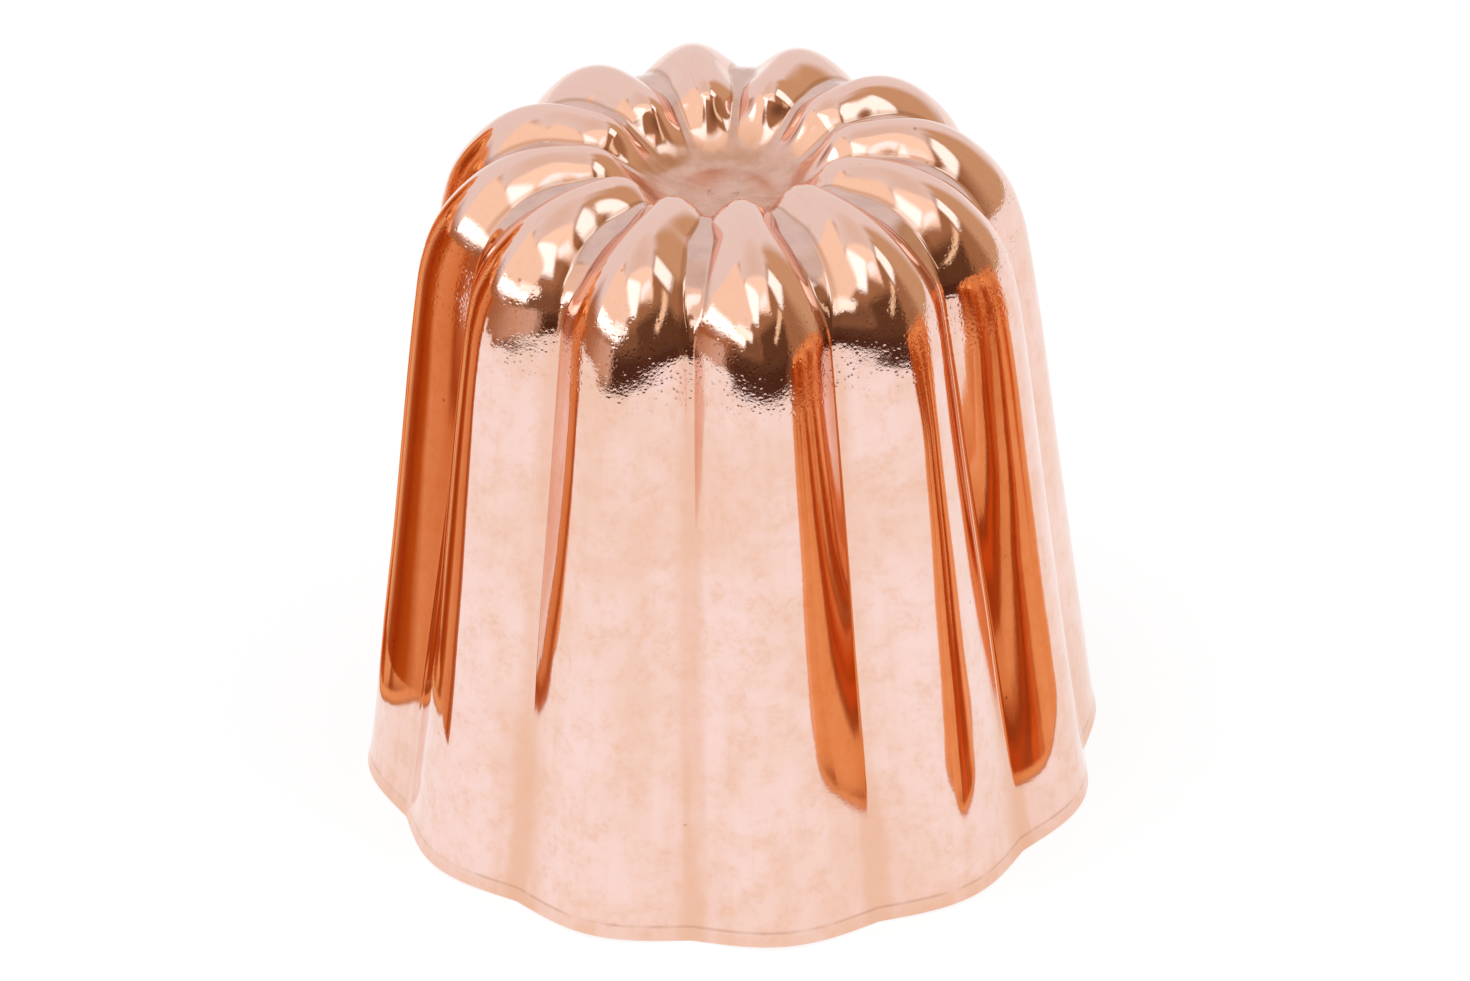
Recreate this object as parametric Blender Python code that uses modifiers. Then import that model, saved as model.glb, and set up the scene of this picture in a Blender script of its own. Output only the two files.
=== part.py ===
"""A canele mould: a fluted cup drawn from copper sheet and tinned inside, standing mouth down.

Metres, +Z up. The origin is the centre of the rim's plane, and the middle of a lobe lies on +X.
"""

import math

import bmesh
import bpy
import numpy as np

# Rim and wall. Radii are those of the grooves between the lobes, on the outside of the copper.
RIM_GROOVE_RADIUS = 0.0260
SHOULDER_CORNER_RADIUS = 0.0179
SHOULDER_CORNER_HEIGHT = 0.0484
SHOULDER_FILLET = 0.0070
RIM_FLARE = 0.0002
RIM_FLARE_HEIGHT = 0.0025

# Closed end: the lip round the dish, and the dish's flat middle.
LIP_CORNER_RADIUS = 0.0090
LIP_RISE = 0.0008
LIP_FILLET = 0.0025
DISH_RADIUS = 0.0042
DISH_DEPTH = 0.0032
DISH_FILLET = 0.0030

# The most of a straight stretch that the fillets at its two ends may take up.
FILLET_REACH = 0.97

# Lobes: how far each stands out of the groove line, from the rim to where it fades in the dish.
LOBE_COUNT = 12
LOBE_AT_RIM = 0.00125
LOBE_AT_MID_WALL = 0.0019
LOBE_AT_SHOULDER = 0.0026
LOBE_AT_MID_SHOULDER = 0.00176
LOBE_AT_END_EDGE = 0.00173
LOBE_AT_LIP = 0.0012
LOBE_FADE_RADIUS = 0.0050

# A lobe is fullest this far along the wall before the groove bends into the shoulder.
SHOULDER_LEAD = 0.0022

# Width of the flat strip left along the bottom of each groove.
STRIP_ON_WALL = 0.00035
STRIP_ON_SHOULDER = 0.0012
STRIP_ON_END = 0.0016
STRIP_AT_LIP = 0.0007
STRIP_IN_DISH = 0.0005

# Part of the groove's bend over which the strip still has its width on the wall.
NARROW_STRIP_SHARE = 0.1

# Share of a cosine hump in a lobe's section. The rest is a parabola.
HUMP_AT_RIM = 0.50
HUMP_AT_SHOULDER = 0.20

# Sheet and tin.
COPPER_THICKNESS = 0.0011
TIN_THICKNESS = 0.0004
TIN_CLEARANCE = 0.0003
TIN_EDGE_HEIGHT = 0.0006

# Mesh steps along each stretch of the groove line, and columns from a lobe's middle to its side.
WALL_STEPS = 6
LEAD_STEPS = 2
SHOULDER_STEPS = 6
END_STEPS = 2
LIP_STEPS = 3
CONE_STEPS = 1
DISH_STEPS = 2
FLOOR_STEPS = 1
HALF_LOBE_COLUMNS = 3

# Spare metal below the rim's plane, which the trimming block takes off.
TRIM_SPARE = 0.0020
TRIM_BLOCK_SIZE = 0.0800

COPPER_COLOUR = (0.94, 0.62, 0.49)
COPPER_ROUGHNESS = 0.16
TIN_COLOUR = (0.72, 0.71, 0.69)
TIN_ROUGHNESS = 0.34


def clear_scene():
    for obj in list(bpy.data.objects):
        bpy.data.objects.remove(obj, do_unlink=True)


def new_collection(name):
    collection = bpy.data.collections.new(name)
    bpy.context.scene.collection.children.link(collection)
    return collection


def metal(name, colour, roughness):
    material = bpy.data.materials.new(name)
    material.use_nodes = True
    shader = material.node_tree.nodes["Principled BSDF"]
    shader.inputs["Base Color"].default_value = (*colour, 1.0)
    shader.inputs["Metallic"].default_value = 1.0
    shader.inputs["Roughness"].default_value = roughness
    material.diffuse_color = (*colour, 1.0)
    return material


def straight(start, end, steps):
    """Points after start, up to and with end."""
    share = np.arange(1, steps + 1)[:, None] / steps
    return start + (end - start) * share


def corner_directions(before, corner, after):
    """Unit vectors from a corner back and ahead along its two sides, and half the angle between them."""
    back = (before - corner) / np.linalg.norm(before - corner)
    ahead = (after - corner) / np.linalg.norm(after - corner)
    return back, ahead, math.acos(float(back @ ahead)) / 2


def fitting_fillets(points, fillets):
    """The fillet radii at a line's inner points, less where two of them would not fit on the stretch between."""
    corners = list(zip(points, points[1:], points[2:]))
    taken = [fillet / math.tan(corner_directions(*corner)[2]) for corner, fillet in zip(corners, fillets)]
    sides = np.linalg.norm(np.diff(points, axis=0), axis=1)
    wanted = np.array([0.0, *taken]) + np.array([*taken, 0.0])
    room = np.minimum(1.0, FILLET_REACH * sides / wanted)
    return np.array(fillets) * np.minimum(room[:-1], room[1:])


def rounded_corner(before, corner, after, fillet, steps):
    """The arc of the given radius that rounds a corner, its first point included."""
    back, ahead, half_angle = corner_directions(before, corner, after)
    first = corner + back * fillet / math.tan(half_angle)
    last = corner + ahead * fillet / math.tan(half_angle)
    middle = (back + ahead) / np.linalg.norm(back + ahead)
    centre = corner + middle * fillet / math.sin(half_angle)
    start = math.atan2(*(first - centre)[::-1])
    sweep = math.atan2(*(last - centre)[::-1]) - start
    sweep = (sweep + math.pi) % (2 * math.pi) - math.pi
    angles = start + sweep * np.arange(steps + 1) / steps
    return centre + fillet * np.column_stack([np.cos(angles), np.sin(angles)])


def groove_line():
    """The outer section through a groove, as (radius, height), from below the rim to the axis.

    Returns the points and the last row of each stretch: wall, shoulder, end, lip, cone, dish and floor.
    """
    rim = np.array([RIM_GROOVE_RADIUS, 0.0])
    shoulder = np.array([SHOULDER_CORNER_RADIUS, SHOULDER_CORNER_HEIGHT])
    lip = np.array([LIP_CORNER_RADIUS, SHOULDER_CORNER_HEIGHT + LIP_RISE])
    dish = np.array([DISH_RADIUS, lip[1] - DISH_DEPTH])
    centre = np.array([0.0, dish[1]])
    taper = (shoulder - rim) / (shoulder - rim)[1]
    corners = np.array([rim, shoulder, lip, dish, centre])
    fillets = fitting_fillets(corners, [SHOULDER_FILLET, LIP_FILLET, DISH_FILLET])
    shoulder_arc = rounded_corner(rim, shoulder, lip, fillets[0], SHOULDER_STEPS)
    lip_arc = rounded_corner(shoulder, lip, dish, fillets[1], LIP_STEPS)
    dish_arc = rounded_corner(lip, dish, centre, fillets[2], DISH_STEPS)
    flare_top = rim + taper * RIM_FLARE_HEIGHT
    fullest = shoulder_arc[0] - taper * SHOULDER_LEAD / np.linalg.norm(taper)
    wall = [
        (rim - taper * TRIM_SPARE)[None],
        rim[None],
        flare_top[None],
        straight(flare_top, fullest, WALL_STEPS),
        straight(fullest, shoulder_arc[0], LEAD_STEPS),
    ]
    rows = [
        np.vstack(wall),
        shoulder_arc[1:],
        straight(shoulder_arc[-1], lip_arc[0], END_STEPS),
        lip_arc[1:],
        straight(lip_arc[-1], dish_arc[0], CONE_STEPS),
        dish_arc[1:],
        straight(dish_arc[-1], centre, FLOOR_STEPS),
    ]
    ends = np.cumsum([len(row) for row in rows]) - 1
    return np.vstack(rows), ends


def across(line):
    """Unit vectors square to the line, pointing out of the copper."""
    along = np.gradient(line, axis=0)
    along[0] = line[1] - line[0]
    along /= np.linalg.norm(along, axis=1)[:, None]
    return np.column_stack([along[:, 1], -along[:, 0]])


def smooth_values(places, values, wanted):
    """Values at the wanted places on a smooth curve through the given ones, which never overshoots them."""
    step = np.diff(places)
    slope = np.diff(values) / step
    at_ends = np.zeros(len(places))
    same_way = slope[:-1] * slope[1:] > 0
    weight_before = 2 * step[1:] + step[:-1]
    weight_after = step[1:] + 2 * step[:-1]
    safe_before = np.where(same_way, slope[:-1], 1.0)
    safe_after = np.where(same_way, slope[1:], 1.0)
    mean = (weight_before + weight_after) / (weight_before / safe_before + weight_after / safe_after)
    at_ends[1:-1] = np.where(same_way, mean, 0.0)
    at_ends[0] = slope[0]
    span = np.clip(np.searchsorted(places, wanted, side="right") - 1, 0, len(step) - 1)
    share = np.clip((wanted - places[span]) / step[span], 0.0, 1.0)
    rise = (3 * share**2 - 2 * share**3) * (values[span + 1] - values[span])
    bend = (share**3 - 2 * share**2 + share) * at_ends[span] + (share**3 - share**2) * at_ends[span + 1]
    return values[span] + rise + step[span] * bend


def lengths_along(line):
    """The length along the line at each row."""
    return np.concatenate([[0.0], np.cumsum(np.linalg.norm(np.diff(line, axis=0), axis=1))])


def lobe_heights(line, ends):
    """How far a lobe's middle stands out of the groove line at each row."""
    length = lengths_along(line)
    fullest = length[ends[0]] - SHOULDER_LEAD
    bend_middle = (length[ends[0]] + length[ends[1]]) / 2
    lip_middle = length[ends[2] + LIP_STEPS // 2 + 1]
    faded = np.interp(-LOBE_FADE_RADIUS, -line[:, 0], length)
    places = [length[1], fullest / 2, fullest, bend_middle, length[ends[1]], lip_middle, faded, length[-1]]
    values = [
        LOBE_AT_RIM,
        LOBE_AT_MID_WALL,
        LOBE_AT_SHOULDER,
        LOBE_AT_MID_SHOULDER,
        LOBE_AT_END_EDGE,
        LOBE_AT_LIP,
        0.0,
        0.0,
    ]
    return smooth_values(np.array(places), np.array(values), length)


def strip_shares(line, ends):
    """The part of the lobes' pitch that the flat strip takes up at each row."""
    length = lengths_along(line)
    bend_start = length[ends[0]]
    bend = length[ends[1]] - bend_start
    places = [0.0, bend_start + NARROW_STRIP_SHARE * bend, bend_start + bend / 2, *length[ends[1:]]]
    widths = [STRIP_ON_WALL, STRIP_ON_WALL, STRIP_ON_SHOULDER, STRIP_ON_END, STRIP_AT_LIP]
    widths += [STRIP_IN_DISH] * (len(places) - len(widths))
    width = smooth_values(np.array(places), np.array(widths), length)
    pitch = 2 * math.pi * np.maximum(line[:, 0], LOBE_FADE_RADIUS) / LOBE_COUNT
    return width / pitch


def wall_share(line, ends):
    """0 at the rim to 1 where the shoulder begins and beyond, eased at both."""
    share = np.clip(line[:, 1] / line[ends[0], 1], 0.0, 1.0)
    share[ends[0]:] = 1.0
    return share * share * (3 - 2 * share)


def fluted_surface():
    """Points of the outer surface as rows by columns by (x, y, z). The last row is the axis, all one point."""
    line, ends = groove_line()
    share = wall_share(line, ends)[:, None]
    strip = strip_shares(line, ends)[:, None]
    hump = HUMP_AT_RIM + (HUMP_AT_SHOULDER - HUMP_AT_RIM) * share
    side = np.arange(-HALF_LOBE_COLUMNS, HALF_LOBE_COLUMNS + 1) / HALF_LOBE_COLUMNS
    section = (1 - hump) * (1 - side**2) + hump * (1 + np.cos(math.pi * side)) / 2
    stand_out = lobe_heights(line, ends)[:, None] * section
    outwards = across(line)
    flare = RIM_FLARE * np.clip(1 - line[:, 1] / RIM_FLARE_HEIGHT, 0.0, None) ** 2
    radius = (line[:, 0] + flare)[:, None] + stand_out * outwards[:, :1]
    height = line[:, 1:] + stand_out * outwards[:, 1:]
    pitch = 2 * math.pi / LOBE_COUNT
    turn = side * (1 - strip) * pitch / 2
    lobes = np.arange(LOBE_COUNT)[:, None, None] * pitch
    angle = (turn[None] + lobes).transpose(1, 0, 2).reshape(len(line), -1)
    radius = np.tile(radius, LOBE_COUNT)
    height = np.tile(height, LOBE_COUNT)
    return np.stack([radius * np.cos(angle), radius * np.sin(angle), height], axis=-1)


def open_cup(points):
    """A mesh lofted through the rows of points and closed at the axis. Its faces point outwards."""
    mesh = bmesh.new()
    rows = [[mesh.verts.new(point) for point in row] for row in points[:-1]]
    pole = mesh.verts.new(points[-1, 0])
    for lower, upper in zip(rows, rows[1:]):
        for column in range(len(lower)):
            mesh.faces.new((lower[column - 1], lower[column], upper[column], upper[column - 1]))
    for column in range(len(rows[-1])):
        mesh.faces.new((rows[-1][column - 1], rows[-1][column], pole))
    mesh.normal_update()
    return mesh


def move_inwards(mesh, depth):
    """Moves an open cup's surface in by a depth measured square to its faces."""
    moves = [vertex.normal * (vertex.calc_shell_factor() * depth) for vertex in mesh.verts]
    for vertex, move in zip(mesh.verts, moves):
        vertex.co -= move


def trimming_block(name, top, collection):
    """A block whose top face is at the height where the cup is cut flat."""
    bpy.ops.mesh.primitive_cube_add(size=TRIM_BLOCK_SIZE, location=(0.0, 0.0, top - TRIM_BLOCK_SIZE / 2))
    block = bpy.context.active_object
    block.name = name
    block.hide_render = True
    block.display_type = "WIRE"
    for holder in list(block.users_collection):
        holder.objects.unlink(block)
    collection.objects.link(block)
    return block


def sheet_cup(name, depth, thickness, edge_height, material, parts, cutters):
    """One layer of the mould: the fluted surface moved in by depth, given its thickness and cut flat."""
    mesh = open_cup(fluted_surface())
    if depth:
        move_inwards(mesh, depth)
    data = bpy.data.meshes.new(name)
    mesh.to_mesh(data)
    mesh.free()
    data.materials.append(material)
    data.shade_smooth()
    cup = bpy.data.objects.new(name, data)
    parts.objects.link(cup)

    wall = cup.modifiers.new("thickness", "SOLIDIFY")
    wall.thickness = thickness
    wall.offset = -1.0
    wall.use_even_offset = True
    wall.use_rim = True

    trim = cup.modifiers.new("flat_edge", "BOOLEAN")
    trim.operation = "DIFFERENCE"
    trim.solver = "EXACT"
    trim.object = trimming_block(name + "_trim", edge_height, cutters)
    return cup


def main():
    clear_scene()
    parts = new_collection("canele_mould")
    cutters = new_collection("canele_mould_cutters")
    cutters.hide_render = True
    copper = metal("polished_copper", COPPER_COLOUR, COPPER_ROUGHNESS)
    tin = metal("wiped_tin", TIN_COLOUR, TIN_ROUGHNESS)
    tin_depth = COPPER_THICKNESS + TIN_CLEARANCE
    sheet_cup("copper_shell", 0.0, COPPER_THICKNESS, 0.0, copper, parts, cutters)
    sheet_cup("tin_lining", tin_depth, TIN_THICKNESS, TIN_EDGE_HEIGHT, tin, parts, cutters)


main()
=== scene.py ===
"""Looks of a canele mould: a fluted cup of polished copper sheet, wiped with tin inside, standing mouth down.

Metres, +Z up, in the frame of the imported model: the rim's plane is z = 0 and the middle of a lobe lies on +X.
"""

import logging
import math
from dataclasses import dataclass, field
from enum import Enum
from functools import partialmethod

import bpy
import numpy as np
from bpy.types import Material, Node, NodeSocket, Object
from mathutils import Matrix, Vector

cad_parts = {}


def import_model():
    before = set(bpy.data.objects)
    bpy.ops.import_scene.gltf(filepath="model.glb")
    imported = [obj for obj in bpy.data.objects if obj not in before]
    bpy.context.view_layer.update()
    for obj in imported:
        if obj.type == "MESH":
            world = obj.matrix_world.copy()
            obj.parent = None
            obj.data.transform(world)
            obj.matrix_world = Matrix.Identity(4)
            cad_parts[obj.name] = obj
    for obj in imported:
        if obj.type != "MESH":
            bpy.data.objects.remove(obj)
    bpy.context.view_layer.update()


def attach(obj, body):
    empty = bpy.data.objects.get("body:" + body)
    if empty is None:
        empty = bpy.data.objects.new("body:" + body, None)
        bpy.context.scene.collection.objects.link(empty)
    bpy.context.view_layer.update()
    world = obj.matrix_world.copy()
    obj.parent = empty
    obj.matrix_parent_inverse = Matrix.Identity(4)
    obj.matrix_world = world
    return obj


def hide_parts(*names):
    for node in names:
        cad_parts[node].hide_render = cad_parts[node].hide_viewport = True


logging.basicConfig(level=logging.INFO, format="%(message)s")
LOG = logging.getLogger("canele_mould")

MM = 0.001

Array = np.ndarray
Colour = tuple[float, float, float]
Span = tuple[float, float]
Stops = tuple[tuple[float, Colour], ...]


# Form of the mould


@dataclass(frozen=True)
class GrooveSizes:
    """Sizes of the outer section through a groove, in metres."""

    rim_radius: float = 26.0 * MM
    corner_radius: float = 17.9 * MM
    corner_height: float = 48.4 * MM
    corner_fillet: float = 7.0 * MM
    flare: float = 0.2 * MM
    flare_height: float = 2.5 * MM
    lip_radius: float = 9.0 * MM
    lip_rise: float = 0.8 * MM
    lip_fillet: float = 2.5 * MM
    dish_radius: float = 4.2 * MM
    dish_depth: float = 3.2 * MM
    dish_fillet: float = 3.0 * MM


@dataclass(frozen=True)
class LobeSizes:
    """How the lobes stand out of the groove line, and the flat strip between two of them, in metres.

    A hump is the share of a cosine in a lobe's section, and the crease is the part of a lobe's half width
    that its rounded side takes up.
    """

    count: int = 12
    at_rim: float = 1.25 * MM
    at_mid_wall: float = 1.9 * MM
    at_shoulder: float = 2.6 * MM
    shoulder_lead: float = 2.2 * MM
    mid_wall_place: float = 19.7 * MM
    at_mid_shoulder: float = 1.76 * MM
    at_end_edge: float = 1.73 * MM
    at_lip: float = 1.2 * MM
    fade_radius: float = 5.0 * MM
    lip_place: float = 0.67
    strip_on_wall: float = 0.35 * MM
    strip_on_shoulder: float = 1.20 * MM
    strip_on_end: float = 1.60 * MM
    strip_at_lip: float = 0.70 * MM
    strip_in_dish: float = 0.50 * MM
    hump_at_rim: float = 0.50
    hump_at_shoulder: float = 0.20
    crease: float = 0.045


@dataclass(frozen=True)
class RowCounts:
    """Mesh rows along each stretch of the groove line."""

    edge: int = 6
    hem: int = 14
    wall: int = 40
    shoulder: int = 48
    end: int = 16
    lip: int = 22
    cone: int = 10
    dish: int = 14
    floor: int = 6


class Stretch(Enum):
    """The stretches of the groove line, from the rim to the axis."""

    WALL = 0
    SHOULDER = 1
    END = 2
    LIP = 3
    CONE = 4
    DISH = 5
    FLOOR = 6


class GrooveLine:
    """The outer section through a groove as a function of the length along it.

    Straight stretches join at arcs. Length, radius, height and heading are held at the ends of the straight
    stretches and closely along the arcs, so a value between two of them is found in a straight line.
    """

    ARC_POINTS = 160

    def __init__(self, sizes: GrooveSizes) -> None:
        """Lays the line out.

        Args:
            sizes: radii, heights and fillets of the section.
        """
        self.sizes = sizes
        lip_height = sizes.corner_height + sizes.lip_rise
        dish_height = lip_height - sizes.dish_depth
        corners = np.array([
            [sizes.rim_radius, 0.0],
            [sizes.corner_radius, sizes.corner_height],
            [sizes.lip_radius, lip_height],
            [sizes.dish_radius, dish_height],
            [0.0, dish_height],
        ])
        steps = np.diff(corners, axis=0)
        headings = np.unwrap(np.arctan2(steps[:, 1], steps[:, 0]))
        fillets = np.array([sizes.corner_fillet, sizes.lip_fillet, sizes.dish_fillet])
        points, turning, marks = [corners[:1]], [headings[:1]], []
        for corner, before, after, fillet in zip(corners[1:-1], headings, headings[1:], fillets):
            arc, arc_headings = self._arc(corner, before, after, fillet)
            marks += [len(np.concatenate(points)), len(np.concatenate(points)) + len(arc) - 1]
            points.append(arc)
            turning.append(arc_headings)
        points.append(corners[-1:])
        turning.append(headings[-1:])
        line = np.concatenate(points)
        self.radius, self.height = line[:, 0], line[:, 1]
        self.heading = np.concatenate(turning)
        self.length = np.concatenate([[0.0], np.cumsum(np.linalg.norm(np.diff(line, axis=0), axis=1))])
        self.marks = np.concatenate([[0.0], self.length[marks], self.length[-1:]])

    def _arc(self, corner: Array, before: float, after: float, fillet: float) -> tuple[Array, Array]:
        """Rounds one corner.

        Args:
            corner: the point that the arc cuts off, as (radius, height).
            before: heading of the line up to the corner, in radians.
            after: heading of the line beyond it.
            fillet: radius of the arc.

        Returns:
            The arc's points and the heading at each.
        """
        turn = after - before
        first = corner - fillet * math.tan(abs(turn) / 2) * np.array([math.cos(before), math.sin(before)])
        headings = before + turn * np.linspace(0.0, 1.0, self.ARC_POINTS)
        side = math.copysign(1.0, turn)
        centre = first + side * fillet * np.array([-math.sin(before), math.cos(before)])
        points = centre + side * fillet * np.column_stack([np.sin(headings), -np.cos(headings)])
        return points, headings

    def span(self, stretch: Stretch) -> Span:
        """Lengths at which a stretch begins and ends."""
        return float(self.marks[stretch.value]), float(self.marks[stretch.value + 1])

    def at_height_on_wall(self, height: Array) -> Array:
        """Lengths at which the straight wall reaches the given heights."""
        return height / math.sin(self.heading[0])

    def at(self, length: Array) -> tuple[Array, Array, Array]:
        """Reads the line.

        Args:
            length: lengths along the line from the rim.

        Returns:
            Radius, height and the unit vector (radius, height) that points out of the copper, at each length.
        """
        radius = np.interp(length, self.length, self.radius)
        height = np.interp(length, self.length, self.height)
        heading = np.interp(length, self.length, self.heading)
        return radius, height, np.column_stack([np.sin(heading), -np.cos(heading)])


def smooth_curve(places: Array, values: Array, wanted: Array) -> Array:
    """A smooth curve through given values that never overshoots them.

    Each span is a cubic whose slopes at its ends are the weighted harmonic means of the slopes on both sides,
    and nil where these differ in sign.

    Args:
        places: where the values are given, in rising order.
        values: the values there.
        wanted: where the curve is read.

    Returns:
        The curve's values at the wanted places.
    """
    step = np.diff(places)
    slope = np.diff(values) / step
    same_way = slope[:-1] * slope[1:] > 0
    before, after = 2 * step[1:] + step[:-1], step[1:] + 2 * step[:-1]
    safe_before, safe_after = np.where(same_way, slope[:-1], 1.0), np.where(same_way, slope[1:], 1.0)
    mean = (before + after) / (before / safe_before + after / safe_after)
    ends = np.concatenate([slope[:1], np.where(same_way, mean, 0.0), [0.0]])
    span = np.clip(np.searchsorted(places, wanted, side="right") - 1, 0, len(step) - 1)
    share = np.clip((wanted - places[span]) / step[span], 0.0, 1.0)
    rise = (3 * share**2 - 2 * share**3) * (values[span + 1] - values[span])
    bend = (share**3 - 2 * share**2 + share) * ends[span] + (share**3 - share**2) * ends[span + 1]
    return values[span] + rise + step[span] * bend


def eased(share: Array) -> Array:
    """0 to 1 with no slope at either end."""
    share = np.clip(share, 0.0, 1.0)
    return share * share * (3 - 2 * share)


@dataclass(frozen=True)
class Grid:
    """A surface as rows by columns.

    Attributes:
        points: (rows, columns, 3) positions.
        side: 0 at a lobe's middle to 1 at its crease and over the strip in the groove.
        length: (rows,) length along the groove line from the rim.
    """

    points: Array
    side: Array
    length: Array


class FlutedForm:
    """The mould's outer face: lobes that stand out of a turned groove line.

    At a length along the line and a place t across a lobe, from -1 at one side to 1 at the other, a point is
    the line's point plus its outward vector times the lobe's height there times the lobe's section at t.
    The section mixes a parabola and a cosine hump, and beyond the lobe's side lies a narrow flat strip.
    The crease between the two is rounded by slowing t down before it reaches 1.
    """

    COLUMNS_TO_CREASE = 11
    COLUMNS_OVER_CREASE = 4
    NARROW_STRIP_SHARE = 0.1
    CREASE_OF_STRIP = 0.8
    LEVEL_HEIGHT = 3.0 * MM
    WAVES_RISE = 6.0 * MM
    WAVES_FALL = 12.0 * MM
    CREST_RISE = 5.0 * MM
    CREST_FALL = 8.0 * MM

    # Slow waves of the drawn sheet: turns round the mould, waves along a metre, phase and height in metres.
    WAVES = np.array([
        [3, 11.0, 0.4, 0.030 * MM],
        [5, 31.0, 2.1, 0.022 * MM],
        [11, -23.0, 4.0, 0.012 * MM],
        [17, 57.0, 1.3, 0.009 * MM],
        [24, -41.0, 5.2, 0.006 * MM],
        [31, 96.0, 3.3, 0.004 * MM],
        [37, 13.0, 0.9, 0.005 * MM],
    ])

    # Crests that the hammer left proud: angle round the mould, half width as an angle, and height in metres.
    PROUD_CRESTS = np.array([
        [math.radians(-59.3), math.radians(3.6), 0.22 * MM],
    ])

    def __init__(self, line: GrooveLine, lobes: LobeSizes) -> None:
        """Holds the section through a groove and the lobes' sizes."""
        self.line = line
        self.lobes = lobes

    def lobe_heights(self, length: Array) -> Array:
        """How far a lobe's middle stands out of the line.

        Args:
            length: lengths along the line.

        Returns:
            The lobe's height at each.
        """
        lobes, line = self.lobes, self.line
        wall_end, shoulder_end = line.span(Stretch.SHOULDER)
        lip_start, lip_end = line.span(Stretch.LIP)
        places = np.array([
            0.0,
            lobes.mid_wall_place,
            wall_end - lobes.shoulder_lead,
            (wall_end + shoulder_end) / 2,
            shoulder_end,
            lip_start + lobes.lip_place * (lip_end - lip_start),
            float(np.interp(-lobes.fade_radius, -line.radius, line.length)),
            line.length[-1],
        ])
        values = np.array([
            lobes.at_rim, lobes.at_mid_wall, lobes.at_shoulder, lobes.at_mid_shoulder, lobes.at_end_edge,
            lobes.at_lip, 0.0, 0.0,
        ])
        return smooth_curve(places, values, length)

    def _strip_shares(self, length: Array, radius: Array) -> Array:
        """The flat strip's share of the lobes' pitch: its width over the length of a pitch at that radius.

        Args:
            length: lengths along the line.
            radius: the line's radius at each.

        Returns:
            The share at each.
        """
        lobes, line = self.lobes, self.line
        start, end = line.span(Stretch.SHOULDER)
        places = np.array([
            0.0, start + self.NARROW_STRIP_SHARE * (end - start), (start + end) / 2, end,
            *line.span(Stretch.LIP), length[-1],
        ])
        widths = np.array([
            lobes.strip_on_wall, lobes.strip_on_wall, lobes.strip_on_shoulder, lobes.strip_on_end,
            lobes.strip_at_lip, lobes.strip_in_dish, lobes.strip_in_dish,
        ])
        pitch = 2 * math.pi * np.maximum(radius, lobes.fade_radius) / lobes.count
        return smooth_curve(places, widths, length) / pitch

    def _lobe_places(self, strip: Array, crease: Array) -> Array:
        """Places t across one lobe and one strip, for each row.

        Args:
            strip: the strip's share of the pitch in each row.
            crease: the crease's reach on both sides of the lobe's side, in each row.

        Returns:
            (rows, columns) values of t, from the edge of the lobe's pitch to just short of the next edge.
        """
        to_crease = np.linspace(0.0, 1.0, self.COLUMNS_TO_CREASE + 1)
        over = np.linspace(-1.0, 1.0, self.COLUMNS_OVER_CREASE + 1)[1:]
        half = np.concatenate([to_crease * (1 - crease), 1 + over * crease], axis=1)
        return np.concatenate([-1 / (1 - strip[:, None]), -half[:, :0:-1], half], axis=1)

    def surface(self, length: Array, inset: Array, square: Array, wavy: bool) -> Grid:
        """The surface at the given lengths, moved in.

        Args:
            length: lengths along the line, one for each row.
            inset: how far each row is moved in.
            square: 1 where a row moves square to the surface, 0 where it moves square to the line.
            wavy: whether the sheet's unevenness is added.

        Returns:
            The grid.
        """
        lobes = self.lobes
        radius, height, out = self.line.at(length)
        wall_end = self.line.span(Stretch.WALL)[1]
        share = eased(length / wall_end)
        strip = self._strip_shares(length, radius)
        hump = (lobes.hump_at_rim + (lobes.hump_at_shoulder - lobes.hump_at_rim) * share)[:, None]
        crease = np.minimum(lobes.crease, self.CREASE_OF_STRIP * strip / (1 - strip))[:, None]
        place = self._lobe_places(strip, crease)
        slowed = np.abs(place) - np.clip(np.abs(place) - (1 - crease), 0.0, 2 * crease) ** 2 / (4 * crease)
        side = np.clip(slowed, 0.0, 1.0)
        section = (1 - hump) * (1 - side**2) + hump * (1 + np.cos(math.pi * side)) / 2
        pitch = 2 * math.pi / lobes.count
        turn = place * (1 - strip[:, None]) * pitch / 2
        angle = (turn[:, None, :] + np.arange(lobes.count)[None, :, None] * pitch).reshape(len(length), -1)
        side = np.tile(side, (1, lobes.count))
        stand_out = np.tile(section, (1, lobes.count)) * self.lobe_heights(length)[:, None]
        if wavy:
            stand_out = stand_out + self._unevenness(angle, length)
        flare = self.line.sizes.flare * np.clip(1 - height / self.line.sizes.flare_height, 0.0, None) ** 2
        reach = (radius + flare)[:, None] + stand_out * out[:, :1]
        top = height[:, None] + stand_out * out[:, 1:]
        ray = np.stack([np.cos(angle), np.sin(angle)], axis=-1)
        points = np.concatenate([ray * reach[..., None], top[..., None]], axis=-1)
        rise = np.broadcast_to(out[:, None, 1:], angle.shape + (1,))
        out_of_line = np.concatenate([ray * out[:, None, :1], rise], axis=-1)
        way = out_of_line + (self._across(points) - out_of_line) * square[:, None, None]
        way[..., 2] *= eased(length / self.LEVEL_HEIGHT)[:, None]
        way /= np.linalg.norm(way, axis=-1, keepdims=True)
        return Grid(points - way * inset[:, None, None], side, length)

    def inside(self, length: Array, depth: Array) -> Grid:
        """A smooth surface below the face, moved square to it on the wall and to the line on the end."""
        start, end = self.line.span(Stretch.SHOULDER)
        return self.surface(length, depth, 1 - eased((length - start) / (end - start)), False)

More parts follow.
